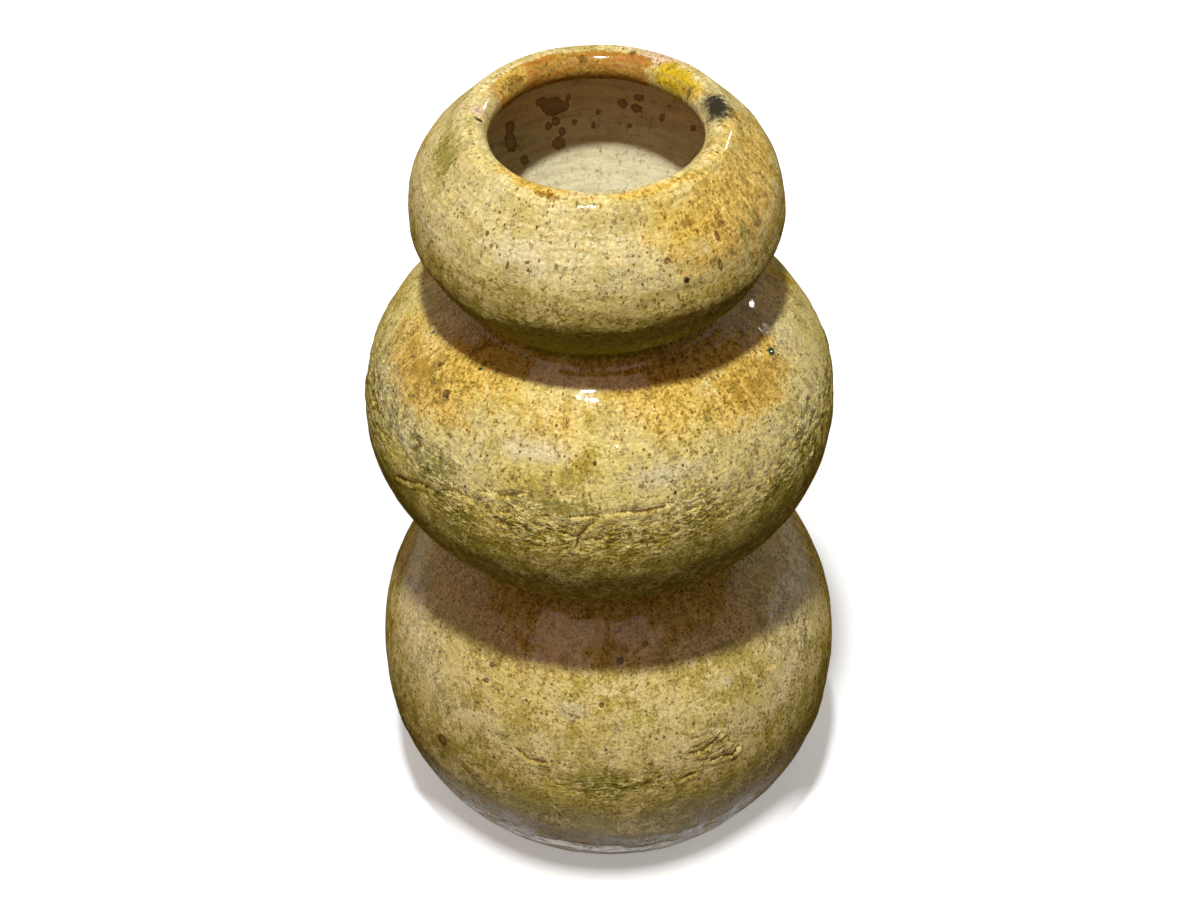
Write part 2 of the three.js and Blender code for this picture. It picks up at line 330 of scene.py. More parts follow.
# Fields with a place of their own: heading, place, half width, half height
FIELD_STRENGTH = 1.15
FIELDS = {
    "amber": [(-130, 4.5, 11, 5), (120, 4.5, 7, 4.5), (55, at(289), 40, 22), (78, at(292), 26, 16),
              (-62, at(228), 34, 18), (52, at(230), 30, 16), (-28, 1.5, 18, 4), (24, -0.6, 24, 2.2),
              (52, -6.5, 9, 4.5), (150, at(284), 40, 20), (-140, at(222), 36, 20), (170, at(116), 40, 18)],
    "burnt": [(-131, 5, 9, 4.5), (121, 5.5, 4, 3), (70, 2.5, 5, 1.6), (-20, -1.5, 7, 1.8),
              (44, at(290), 3, 4), (60, at(283), 4, 3), (33, at(292), 5, 1.6)],
    "olive": [(127, 5, 3, 2.4), (58, at(261), 28, 9), (-80, at(294), 15, 10), (51, at(282), 1.6, 10),
              (58, at(286), 1.6, 9), (-44, at(212), 20, 9), (-10, at(213), 26, 5), (48, at(196), 26, 13),
              (0, at(86), 34, 10), (-90, at(250), 20, 12), (-44, at(77), 9, 12), (120, at(200), 34, 16),
              (-160, at(92), 44, 14)],
    "pale": [(-18, at(226), 20, 8), (16, at(220), 26, 8), (-25, at(288), 28, 14), (0, 1.5, 17, 4.5),
             (-100, 2.5, 9, 5), (-10, at(112), 9, 5), (35, at(112), 5, 4), (2, at(107), 4, 3)],
    "pink": [(146, 0.6, 18, 6), (-99, 3, 6, 4), (200, at(225), 30, 10)],
    "gold": [(133, 4.8, 13, 6.5), (104, at(228), 3.6, 12)],
    "yellow": [(-74, at(206), 26, 16), (-58, at(205), 16, 10), (-50, at(121), 14, 9), (-12, at(81), 14, 7),
               (8, at(109), 10, 6), (42, at(101), 14, 8), (56, at(212), 12, 9), (-150, at(270), 20, 14),
               (160, at(200), 30, 14)],
}
for layer, fields in FIELDS.items():
    for heading, place, wide, high in fields:
        lay(layer, FIELD_STRENGTH * spread(heading, place, wide, high))
# The amber stays thinner on the top bulb
paint["amber"] = np.minimum(paint["amber"], 1.2 - 0.5 * on_top)

# Orange band on the inner rear of the lip, with a crisp lower edge
behind = smooth(-104, -130, degrees + 4 * ragged) + smooth(143, 157, degrees + 5 * ragged)
lay("terra", 1.1 * behind * smooth(0.2, 2.6, past + 0.6 * ragged) * (1 - smooth(11.6, 12.2, past)))

# Clay without glaze, from a wavy line below the lip on the inside
GLAZE_LINE = 12
lay("bare", smooth(0, 0.9, past - (GLAZE_LINE + 0.7 * drift)))

# Thin, dry glaze under the bellies and in both waists
WAIST_DRYNESS = 1.25
lay("dry", smooth(0.6, 0.1, -tangent[:, :1]) * smooth(6, 16, tall))
lay("dry", WAIST_DRYNESS * smooth(240.8, 242.2, tall) * (1 - smooth(250, 256, tall)))
lay("dry", WAIST_DRYNESS * smooth(137.5, 140.5, tall) * (1 - smooth(148, 156, tall)))

# Thick, wet glaze where it ran down near the foot: heading, place, half width, half height
WET_STRENGTH = 1.3
WET = [(-12, at(45), 11, 5), (2, at(42), 15, 6), (-21, at(40), 7, 4), (14, at(38), 8, 3),
       (-70, at(40), 14, 4), (95, at(42), 18, 4), (160, at(41), 20, 4), (-130, at(40), 22, 4)]
for heading, place, wide, high in WET:
    lay("wet", WET_STRENGTH * spread(heading, place, wide, high))
lay("wet", smooth(80, 35, np.abs(degrees)) * (1 - smooth(54, 84, tall)) * (0.5 + 0.15 * drift))
paint["dry"] *= 1 - np.minimum(paint["wet"], 1)

# Small waves in the glaze that catch the light
SPARKLE_STRENGTH = 1.2
SPARKLES = [(70, at(231), 9, 6), (-8, at(45), 20, 5), (6, at(41), 24, 5), (-22, at(40), 12, 4),
            (30, at(39), 12, 3)]
for heading, place, wide, high in SPARKLES:
    lay("sparkle", SPARKLE_STRENGTH * spread(heading, place, wide, high))

# Spots and stains: heading, place, half width, half height
SPOT_RAGGEDNESS = 0.12
SPOTS = {
    "brown": [(-173, 3.9, 1.6, 1.6), (161, 1.6, 1.5, 1.5),
              (-38, at(289), 1.1, 1.1), (-40.5, at(289), 0.8, 0.8), (-35, at(287), 0.9, 0.9),
              (-22, at(286), 0.9, 0.9), (-28, at(284), 0.7, 2.4), (4, at(297), 0.9, 0.9),
              (22, at(286), 1.8, 1.3), (35, at(290), 0.8, 0.8), (50, at(284), 0.9, 0.9),
              (41, at(287), 1.1, 2.4), (39, at(280), 1.2, 3.2), (-45, at(80), 3.4, 4.5),
              (-58, at(232), 1.4, 1.7), (-49, at(229), 2.2, 2.2), (-27, at(208), 1.3, 1.3),
              (29, at(217), 0.9, 0.9), (-2, at(114), 1.7, 1.7), (4, at(125), 2.2, 2.2),
              (13, at(128), 1.6, 1.6), (-36, at(117), 1.7, 1.7), (-36, at(112), 1.5, 1.5),
              (-1, at(100), 0.9, 0.9),
              (-164, 41, 4.6, 4.2), (-160, 38.6, 2.4, 2.2), (-168, 41.5, 2.6, 2.4), (170, 41, 2.2, 2.2),
              (164, 37.7, 2.4, 2.0), (165, 42, 2.1, 2.1), (-165, 53.5, 2.8, 2.2), (-162, 47.5, 1.4, 1.4),
              (-165, 46.6, 1.6, 1.6), (-167, 50, 1.5, 1.5), (-172, 47.5, 1.1, 1.1), (-179, 49, 1.0, 1.0),
              (167, 48.3, 1.0, 1.0), (155, 43.7, 1.2, 1.6), (-146, 49, 2.6, 4.0), (-147, 44.3, 2.2, 2.6),
              (-149, 56, 2.0, 2.0), (179, 44.3, 1.0, 1.0), (-170, 38.6, 1.2, 1.2), (142, 43.7, 1.2, 1.4),
              (-110, 45, 3.4, 3.0), (110, 40, 2.0, 2.4), (60, 46, 2.8, 2.2), (-40, 44, 3.0, 3.4)],
    "dark": [(99, 1.0, 9.5, 6.0), (-93, 3, 1.2, 2.6), (27, at(280), 1.2, 1.2), (18, at(215), 0.9, 0.9),
             (4, at(205), 0.9, 0.9), (22, at(104), 0.7, 0.7), (-58, at(113), 0.7, 0.7)],
    "green": [(65, at(231), 2.0, 1.6), (-71, at(234), 0.7, 0.9), (-44, at(236), 0.8, 0.8)],
}
for layer, spots in SPOTS.items():
    for heading, place, wide, high in spots:
        lay(layer, spread(heading, place, wide, high, SPOT_RAGGEDNESS))

# Lines in the clay: heading and place of their points
RIDGE = [(-75, at(268)), (-51, at(266)), (-35, at(264)), (-13, at(267)), (7, at(267)), (23, at(270)),
         (37, at(268)), (57, at(267)), (80, at(269)), (130, at(266)), (175, at(268))]
FOLD = [(2, at(262)), (18, at(262)), (31, at(263)), (44, at(264)), (60, at(265)), (85, at(262))]
FOOT_LINE = [(-60, at(66)), (-18, at(62)), (4, at(56)), (25, at(52)), (70, at(58))]
CRACKS = [
    [(-56, at(197)), (-51, at(200)), (-47, at(203)), (-43, at(204))],
    [(-40, at(206)), (-36, at(208)), (-31, at(208))],
    [(-29, at(212)), (-23, at(213)), (-19, at(215))],
    [(-8, at(205)), (-5, at(204)), (-3, at(208)), (-1.5, at(209))],
    [(-5, at(204)), (-5.5, at(200))],
    [(-7, at(210.5)), (4, at(212)), (10, at(211.5)), (16, at(212))],
    [(20, at(94)), (23, at(93)), (26, at(95)), (29, at(97))],
    [(25, at(88)), (28, at(88)), (31, at(86)), (33, at(88))],
    [(17, at(84)), (21, at(85))],
    [(-23, at(94)), (-20, at(92)), (-16, at(92.5))],
    [(110, at(204)), (118, at(207)), (124, at(205))],
    [(-130, at(203)), (-122, at(206)), (-112, at(204)), (-104, at(207))],
    [(150, at(92)), (158, at(95)), (163, at(93))],
]
CRACK_REACH = 3.0
crack = np.full(plain.shape[:2], CRACK_REACH)
for line in CRACKS:
    across = drawn(line, CRACK_REACH)
    crack = np.where(np.abs(across) < np.abs(crack), across, crack)
paint["crack"] = crack

# Lumpy crust in a belt round the middle bulb, and patches: strength, heading, place, half sizes
BELT_HEIGHT = 206
BELT_REACH = 13
CRUSTS = [(1.0, -74, at(208), 30, 20), (1.0, 60, at(208), 24, 16), (0.6, 26, at(92), 18, 13),
          (0.6, 0, at(84), 30, 10), (0.6, 64, at(108), 22, 24), (0.6, -62, at(60), 20, 16),
          (0.6, -48, at(213), 22, 14)]
belt = np.clip(1 - np.abs(tall - BELT_HEIGHT - 4 * swirl) / BELT_REACH, 0, 1) * on_middle
lay("crust", belt * (0.55 + 0.5 * drift))
for strength, heading, place, wide, high in CRUSTS:
    lay("crust", strength * spread(heading, place, wide, high))
lumps = 0.9 * noise(plain, 5.5, seed=5) + 0.7 * noise(plain, 2.8, seed=6)
paint["lump"] = paint["crust"] * lumps

# Relief of the clay along its normals, in millimetres: waves of the wall, and throwing rings
WALL_WAVE = 0.42
THUMB_WAVE = 0.25
FINE_WAVE = 0.09
RING_WAVE = 0.06
relief = WALL_WAVE * noise(plain, 34, seed=1)
relief += (THUMB_WAVE - 0.12 * on_top) * noise(plain, 12, seed=2)
relief += (FINE_WAVE - 0.04 * on_top) * noise(plain, 4, seed=3)
relief += (RING_WAVE + 0.1 * on_top) * noise(turn * (0.16, 0.16, 1), 3.2, seed=4)

# Crust, and the clay that turns up into the upper waist
LUMP_HEIGHT = 0.75
COLLAR_HEIGHT = 0.95
relief += LUMP_HEIGHT * paint["lump"]
relief += COLLAR_HEIGHT * smooth(237.5, 240.8, tall) * on_middle

# Ridge of the top bulb, weaker in front, its fold, a line near the foot, and cracks with a raised lower lip
RIDGE_HEIGHT = 0.75
FOLD_DEPTH = 0.9
FOOT_LINE_HEIGHT = 0.25
CRACK_DEPTH = 0.65
CRACK_LIP = 0.4
ridge = drawn(RIDGE, 9)
ridge_strength = 0.35 + 0.65 * smooth(12, 34, np.abs(degrees + 4))
ridge_shape = np.where(ridge > 0, 1 - smooth(0, 8, ridge), 1 - smooth(0, 2.2, -ridge))
relief += RIDGE_HEIGHT * ridge_strength * ridge_shape
relief -= FOLD_DEPTH * (1 - smooth(0, 2.4, np.abs(drawn(FOLD, 6))))
relief += FOOT_LINE_HEIGHT * (1 - smooth(0, 6, np.abs(drawn(FOOT_LINE, 7))))
relief -= CRACK_DEPTH * (1 - smooth(0.1, 1.1, np.abs(crack)))
relief += CRACK_LIP * np.where(crack < 0, 1 - smooth(0.8, CRACK_REACH, -crack), 0)

# Beads and pits: heading, place, radius, height or depth
BEADS = [(-173, 3.9, 2.0, 0.7), (161, 1.6, 1.9, 0.7), (-49, at(229), 2.4, 0.8), (5, at(227), 2.2, 0.5),
         (-15, at(217), 2.6, 0.6), (65, at(231), 2.6, 0.4), (-3, at(121), 1.7, 0.5),
         (0, at(120), 1.6, 0.45), (-21, at(104), 1.7, 0.5), (-18, at(122), 2.0, 0.4),
         (22, at(286), 1.8, 0.3)]
PITS = [(-2, at(114), 2.1, 0.7), (4, at(125), 2.6, 0.6), (13, at(128), 2.0, 0.5), (-36, at(117), 2.0, 0.6),
        (-36, at(112), 1.8, 0.5), (-93, 3, 2.2, 0.6), (30, at(121), 1.8, 0.5), (50, at(107), 1.8, 0.5)]
for marks, way in ((BEADS, 1), (PITS, -1)):
    for heading, place, size, height in marks:
        relief += way * height * smooth(0, 0.7, spread(heading, place, size, size, 0))

# The edge of the foot stays true
FOOT_TRUE = (0.5, 6)
relief *= smooth(*FOOT_TRUE, rows[:, None] / MM) * MM

surface = ring_points(row_radius[:, None] + relief * tangent[:, 1:],
                      row_height[:, None] - relief * tangent[:, :1])


def normals_of(grid):
    """Normals of a grid of rings, by differences along both ways."""
    upward = np.gradient(grid, axis=0)
    around = np.roll(grid, -1, axis=1) - np.roll(grid, 1, axis=1)
    found = np.cross(around, upward)
    return found / np.maximum(np.linalg.norm(found, axis=-1), 1e-12)[..., None]


surface_normals = normals_of(surface)


class Part:
    """A run of rings of a piece: points, normals and, where it shows, its rings of the master surface."""

    def __init__(self, grid, normals, shown=None):
        self.grid = grid
        self.normals = normals
        self.shown = shown
        self.length = float(np.linalg.norm(np.diff(grid[:, 0], axis=0), axis=1).sum())

    def layer(self, name):
        if self.shown is not None:
            return paint[name][self.shown]
        return np.full(self.grid.shape[:2], {"bare": 1.0, "crack": CRACK_REACH}.get(name, 0.0))

    def turned(self):
        if self.shown is not None:
            return turn[self.shown]
        steps = np.linspace(0, self.length, len(self.grid))
        return np.stack(np.broadcast_arrays(turn[0, :, 0], turn[0, :, 1], steps[:, None]), -1)


def shown(name):
    where = row_range[name]
    return Part(surface[where], surface_normals[where], where)


def hidden(*runs_of_points):
    points = np.concatenate([np.atleast_2d(run) for run in runs_of_points])
    grid = ring_points(points[:, 0], points[:, 1])
    return Part(grid, normals_of(grid))


# Shares of a piece's texture map
STRIP_COUNTS = (1, 2, 3, 4, 5, 6)
HIDDEN_SHARE = 0.15
JOINT_SHARE = 0.01
CAP_RADIUS = 0.004
MAP_MARGIN = 0.006


def strip_map(steps, strips, low, high):
    """Map corners of a band of rings, cut into strips that are stacked between low and high."""
    per = COLUMNS // strips
    column = np.arange(COLUMNS)
    left = MAP_MARGIN + (column % per) / per * (1 - 2 * MAP_MARGIN)
    right = left + (1 - 2 * MAP_MARGIN) / per
    height = (high - low) / strips
    base = low + column // per * height + MAP_MARGIN / 2
    v = base + steps[:, None] * (height - MAP_MARGIN)
    shape = (len(steps) - 1, COLUMNS)
    u0, u1 = np.broadcast_to(left, shape), np.broadcast_to(right, shape)
    corners = [(u0, v[:-1]), (u1, v[:-1]), (u1, v[1:]), (u0, v[1:])]
    return np.stack([np.stack(corner, -1) for corner in corners], 2)


def make_piece(name, slot, parts, capped=False):
    """A closed mesh of parts in order: each joins the next, and the last the first or flat caps."""
    sizes = [len(part.grid) for part in parts]
    index = np.arange(sum(sizes) * COLUMNS).reshape(-1, COLUMNS)
    starts = np.cumsum([0] + sizes)
    corners, corner_normals, corner_map = [], [], []

    def band(rings, normals, steps, strips, low, high):
        quads = np.stack([rings[:-1], np.roll(rings[:-1], -1, 1), np.roll(rings[1:], -1, 1), rings[1:]], -1)
        sides = [normals[:-1], np.roll(normals[:-1], -1, 1), np.roll(normals[1:], -1, 1), normals[1:]]
        corners.append(quads.reshape(-1))
        corner_normals.append(np.stack(sides, 2).reshape(-1, 3))
        corner_map.append(strip_map(steps, strips, low, high).reshape(-1, 2))

    weights = np.array([part.length * (1 if part.shown is not None else HIDDEN_SHARE) for part in parts])
    shares = weights / weights.sum() * (1 - JOINT_SHARE * (len(parts) + 2))
    low = 0.0
    for k, (part, share) in enumerate(zip(parts, shares)):
        around = 2 * math.pi * np.hypot(*part.grid[0, 0, :2])
        best = math.sqrt(share * around / max(part.length, MM))
        strips = min(STRIP_COUNTS, key=lambda count: abs(count - best))
        rings = index[starts[k]:starts[k + 1]]
        band(rings, part.normals, np.linspace(0, 1, len(rings)), strips, low, low + share)
        low += share
        following = (k + 1) % len(parts)
        if following or not capped:
            across = np.stack([part.grid[-1], parts[following].grid[0]])
            pair = np.stack([rings[-1], index[starts[following]]])
            band(pair, normals_of(across), np.array([0.0, 1.0]), 1, low, low + JOINT_SHARE)
            low += JOINT_SHARE
    totals = [4] * (sum(len(run) for run in corners) // 4)
    if capped:
        for ring, way in ((index[0][::-1], -UP), (index[-1], UP)):
            corners.append(ring)
            corner_normals.append(np.tile(way, (COLUMNS, 1)))
            corner_map.append(CAP_RADIUS * outward[:, :2] + [0.5, low + JOINT_SHARE / 2])
            totals.append(COLUMNS)
    corners, totals = np.concatenate(corners), np.array(totals)

    mesh = bpy.data.meshes.new(name)
    mesh.vertices.add(index.size)
    points = np.concatenate([part.grid for part in parts]).astype(np.float32)
    mesh.vertices.foreach_set("co", points.ravel())
    mesh.loops.add(len(corners))
    mesh.loops.foreach_set("vertex_index", corners.astype(np.int32))
    mesh.polygons.add(len(totals))
    mesh.polygons.foreach_set("loop_start", (np.cumsum(totals) - totals).astype(np.int32))
    mesh.polygons.foreach_set("use_smooth", np.ones(len(totals), bool))
    mesh.update(calc_edges=True)
    corner_map = np.concatenate(corner_map).astype(np.float32)
    mesh.uv_layers.new(name="OFBake").uv.foreach_set("vector", corner_map.ravel())
    for layer in paint:
        values = np.concatenate([part.layer(layer) for part in parts]).astype(np.float32)
        mesh.attributes.new(layer, "FLOAT", "POINT").data.foreach_set("value", values.ravel())
    turned = np.concatenate([part.turned() for part in parts]).astype(np.float32)
    mesh.attributes.new("turn", "FLOAT_VECTOR", "POINT").data.foreach_set("vector", turned.ravel())
    mesh.normals_split_custom_set(np.concatenate(corner_normals).astype(np.float32))
    mesh.materials.append(finishes[slot])
    made = bpy.data.objects.new("glazed_" + name, mesh)
    bpy.context.scene.collection.objects.link(made)
    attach(made, "root")
    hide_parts(name)


# Radius of the smallest dots, as a share of the largest
SMALLEST_DOT = 0.35


class Finish:
    """Builder of one node material."""

    def __init__(self, name):
        self.material = bpy.data.materials.new(name)
        self.material.use_nodes = True
        self.tree = self.material.node_tree
        self.shader = self.tree.nodes["Principled BSDF"]
        self.place = self.node("TexCoord").outputs["Object"]

    def node(self, kind, inputs=(), **settings):
        made = self.tree.nodes.new("ShaderNode" + kind)
        for key, value in settings.items():
            setattr(made, key, value)
        for key, value in dict(inputs).items():
            self.feed(made, key, value)
        return made

    def feed(self, node, key, value):
        if isinstance(value, bpy.types.NodeSocket):
            self.tree.links.new(value, node.inputs[key])
        else:
            node.inputs[key].default_value = value

    def layer(self, name):
        return self.node("Attribute", attribute_name=name).outputs["Fac"]

    def turned(self, scale):
        """Coordinates that run round and up the wall, squeezed or stretched."""
        vector = self.node("Attribute", attribute_name="turn").outputs["Vector"]
        return self.node("VectorMath", {0: vector, 1: scale}, operation="MULTIPLY").outputs["Vector"]

    def noise(self, vector, size, detail=2.0, rough=0.55):
        inputs = {"Vector": vector, "Scale": 1 / (size * MM), "Detail": detail, "Roughness": rough}
        return self.node("TexNoise", inputs).outputs["Fac"]

    def math(self, operation, a, b=0.0):
        return self.node("Math", {0: a, 1: b}, operation=operation).outputs[0]

    def times(self, a, b):
        return self.math("MULTIPLY", a, b)

    def total(self, *terms):
        result = terms[0]
        for term in terms[1:]:
            result = self.math("ADD", result, term)
        return result

    def between(self, value, low, high):
        """0 below low, 1 above high, eased between, or the other way round."""
        inputs = {"Value": value, "From Min": low, "From Max": high}
        return self.node("MapRange", inputs, interpolation_type="SMOOTHSTEP").outputs["Result"]

    def blend(self, factor, a, b):
        """Colour a where factor is 0 and b where it is 1."""
        a, b = [(*side, 1) if isinstance(side, tuple) else side for side in (a, b)]
        return self.node("Mix", {0: factor, 6: a, 7: b}, data_type="RGBA").outputs[2]

    def dots(self, vector, cell, largest, share):
        """Round dots of uneven size in a share of the cells."""
        cells = self.node("TexVoronoi", {"Vector": vector, "Scale": 1 / (cell * MM)})
        chance = self.node("SeparateColor", {0: cells.outputs["Color"]}).outputs
        smallest = SMALLEST_DOT * largest
        size = self.total(self.times(chance[1], (largest - smallest) / cell), smallest / cell)
        size = self.times(size, self.math("GREATER_THAN", chance[0], 1 - share))
        inner = self.math("SUBTRACT", cells.outputs["Distance"], size)
        return self.between(inner, -0.005, -0.04)


# Colours of the clay and its glaze
PALE = (0.70, 0.64, 0.385)
AMBER = (0.47, 0.29, 0.035)
OCHRE = (0.78, 0.54, 0.135)
OLIVE = (0.33, 0.29, 0.047)
ROSE = (0.74, 0.54, 0.46)
YELLOW = (0.70, 0.60, 0.15)
GOLD = (0.60, 0.43, 0.02)
BURNT = (0.27, 0.135, 0.015)
FLECK = (0.84, 0.77, 0.32)
TERRACOTTA = (0.43, 0.19, 0.032)
STAIN = (0.22, 0.11, 0.03)
# Crevices of the crust: dark glaze, with painted shade in their recesses
CREVICE_GLAZE_AND_SHADE = (0.13, 0.10, 0.015)
SPECK = (0.19, 0.11, 0.02)
SPOT = (0.17, 0.075, 0.012)
UMBER = (0.125, 0.058, 0.01)
RUST = (0.38, 0.18, 0.025)
CHARCOAL = (0.03, 0.026, 0.02)
COPPER_GREEN = (0.012, 0.06, 0.03)
CREAM = (0.70, 0.66, 0.42)
CLAY = (0.80, 0.60, 0.35)

# Factors of the finest mottling
BRIGHTER = (1.48, 1.51, 1.54)
DEEPER = (0.60, 0.54, 0.34)

# Gloss of the glaze, its roughness under that, and what dull places add
COAT_ROUGHNESS = 0.05
COAT_IOR = 1.38
GLAZE_ROUGHNESS = 0.45
DULL_ROUGHNESS = 0.35

# Distances past the lip's crest between which the bare clay turns creamy
CREAMY = (40 * MM, 50 * MM)


def glaze(name, light, deep, murky, bands, dashes, peppery):
    """Glossy mottled glaze over speckled clay, with its marks read from the painted layers."""
    m = Finish(name)
    layer = {key: m.layer(key) for key in (*LAYERS, "crack")}

    # Patterns that the steps below share
    cloud = m.noise(m.place, 15, 4, 0.6)
    pool = m.noise(m.turned((1, 1, 0.8)), 10, 5, 0.65)
    mottle = m.noise(m.turned((1, 1, 0.7)), 3.4, 4, 0.62)
    sugar = m.noise(m.place, 1.1, 3, 0.7)
    brushed = m.noise(m.turned((0.3, 0.3, 1)), 0.8, 3, 0.65)
    grain = m.noise(m.place, 0.7, 2, 0.6)
    streak = m.noise(m.turned((1, 1, 0.24)), 1.25, 2, 0.5)
    ring = m.noise(m.turned((0.08, 0.08, 1)), 1.5, 3, 0.6)
    stir = m.total(m.times(mottle, 1.3), m.times(sugar, 0.9), m.times(grain, 0.4), -1.3)

    def over(colour, under, key, low, high, noisy=1.0):
        """Lays a colour where a painted layer, stirred by the mottling, is strong."""
        strength = m.total(layer[key], m.times(stir, noisy))
        return m.blend(m.between(strength, low, high), under, colour)

    # Ground and murky pools
    cloudy = m.total(m.times(cloud, 0.6), m.times(mottle, 0.4))
    colour = m.blend(m.between(cloudy, 0.4, 0.6), light, deep)
    pooled = m.total(pool, m.times(stir, 0.35))
    colour = m.blend(m.times(m.between(pooled, 0.46, 0.62), 0.85), colour, murky)

    # Painted fields
    colour = over(PALE, colour, "pale", 0.2, 1.0)
    colour = over(ROSE, colour, "pink", 0.25, 0.95)
    colour = over(TERRACOTTA, colour, "terra", 0.1, 0.8, 0.8)
    colour = over(OCHRE, colour, "amber", 0.15, 0.6)
    colour = over(AMBER, colour, "amber", 0.4, 1.05, 1.4)
    colour = over(OLIVE, colour, "olive", 0.2, 0.95, 1.3)
    colour = over(YELLOW, colour, "yellow", 0.2, 0.9, 1.5)
    colour = over(GOLD, colour, "gold", 0.1, 0.6, 0.8)
    colour = over(BURNT, colour, "burnt", 0.15, 1.0, 0.9)

    # Throwing rings, rusty dashes, light grains in the crust, and its crevices: dark glaze there with
    # painted shade, darkest where the crust's bump is lowest
    colour = m.blend(m.times(m.between(ring, 0.42, 0.62), bands), colour, murky)
    colour = m.blend(m.times(m.between(streak, 0.64, 0.74), dashes), colour, RUST)
    grit = m.noise(m.turned((0.75, 0.75, 1)), 1.9, 3, 0.6)
    crusty = m.times(layer["crust"], m.total(m.times(grit, 1.7), m.times(layer["lump"], 0.15), -0.85))
    colour = m.blend(m.times(m.between(crusty, 0.01, 0.09), 0.8), colour, FLECK)
    # Painted shade as well as dark glaze: the crevices darken where the crust's bump is lowest
    colour = m.blend(m.times(m.between(crusty, -0.07, -0.12), 0.75), colour, CREVICE_GLAZE_AND_SHADE)

    # Finest mottling
    tone = m.total(m.times(sugar, 0.45), m.times(brushed, 0.35), m.times(grain, 0.2))
    tone = m.node("MapRange", {"Value": tone, "From Min": 0.33, "From Max": 0.67}).outputs["Result"]
    tint = m.blend(tone, BRIGHTER, DEEPER)
    colour = m.node("Mix", {0: 1.0, 6: colour, 7: tint}, data_type="RGBA", blend_type="MULTIPLY").outputs[2]

    # Pepper and round specks
    pepper = m.total(m.noise(m.turned((1, 1, 1.15)), 1.15, 1, 0.5), m.times(pool, 0.3))
    colour = m.blend(m.times(m.between(pepper, 0.76, 0.84), peppery), colour, SPECK)
    fine = m.dots(m.turned((1, 1, 0.95)), 1.8, 0.58, 0.5)
    middling = m.dots(m.turned((1, 1, 0.9)), 3.4, 0.62, 0.6)
    coarse = m.dots(m.turned((1, 1, 0.8)), 10.0, 1.0, 0.4)
    rusty = m.blend(m.between(mottle, 0.46, 0.56), SPECK, RUST)
    colour = m.blend(m.times(fine, 0.9), colour, rusty)
    colour = m.blend(m.times(m.math("MAXIMUM", middling, coarse), 0.9), colour, UMBER)

    # Bare clay inside
    depth = m.node("SeparateXYZ", {0: m.turned((1, 1, 1))}).outputs[2]
    clay = m.blend(m.between(depth, crest + CREAMY[0], crest + CREAMY[1]), CLAY, CREAM)
    clay = m.blend(m.times(m.between(sugar, 0.45, 0.75), 0.2), clay, STAIN)
    clay = m.blend(m.times(m.between(ring, 0.4, 0.65), 0.25), clay, STAIN)
    colour = m.blend(layer["bare"], colour, clay)

    # Spots, darkest at the rim and palest in the middle, and wider on bare clay
    stain = m.total(layer["brown"], m.times(stir, 0.35))
    spot_start = m.total(m.times(layer["bare"], -0.16), 0.28)
    spot_full = m.total(m.times(layer["bare"], -0.18), 0.42)
    spot = m.between(stain, spot_start, spot_full)
    rim = m.between(m.math("ABSOLUTE", m.total(stain, -0.22)), 0.14, 0.04)
    hollow = m.times(m.between(stain, 0.62, 0.85), m.total(m.times(layer["bare"], 0.4), -0.5))
    strength = m.total(m.times(rim, 0.2), m.times(layer["bare"], -0.2), hollow, 0.9)
    colour = m.blend(m.times(spot, strength), colour, m.blend(layer["bare"], SPOT, STAIN))

    # Copper green, char, and cracks
    green = m.total(layer["green"], m.times(stir, 0.3))
    colour = m.blend(m.between(green, 0.05, 0.4), colour, COPPER_GREEN)
    char = m.between(m.total(layer["dark"], m.times(stir, 0.8)), 0.0, 0.7)
    colour = m.blend(m.times(char, 0.97), colour, CHARCOAL)
    wander = m.total(layer["crack"], m.times(stir, 0.9))
    gap = m.between(m.math("ABSOLUTE", wander), 0.46, 0.18)
    gap = m.times(gap, m.between(mottle, 0.4, 0.52))
    vein = m.noise(m.turned((0.55, 0.55, 1)), 6, 5, 0.68)
    seam = m.math("ABSOLUTE", m.total(vein, -0.5))
    rotten = m.between(m.total(layer["crust"], m.times(stir, 0.6)), 0.35, 0.75)
    gap = m.math("MAXIMUM", gap, m.times(m.between(seam, 0.02, 0.007), m.times(rotten, 0.6)))
    colour = m.blend(m.times(gap, 0.8), colour, UMBER)
    m.feed(m.shader, "Base Color", colour)

    # Bumps, of which the gloss has only the smoother ones
    wave = m.noise(m.turned((0.8, 0.8, 1)), 8, 1.5, 0.4)
    ripple = m.noise(m.turned((0.6, 0.6, 1)), 1.8, 2, 0.5)
    runny = m.total(m.times(wave, 0.16), m.times(mottle, 0.05), m.times(ring, 0.06 * bands),
                    m.times(coarse, -0.12), m.times(gap, -0.35), m.times(crusty, 2.4),
                    m.times(m.times(layer["sparkle"], ripple), 1.8))
    gritty = m.total(runny, m.times(sugar, 0.3), m.times(m.times(char, sugar), 0.9))
    m.feed(m.shader, "Normal", m.node("Bump", {"Height": gritty, "Distance": MM}).outputs["Normal"])
    m.feed(m.shader, "Coat Normal", m.node("Bump", {"Height": runny, "Distance": MM}).outputs["Normal"])

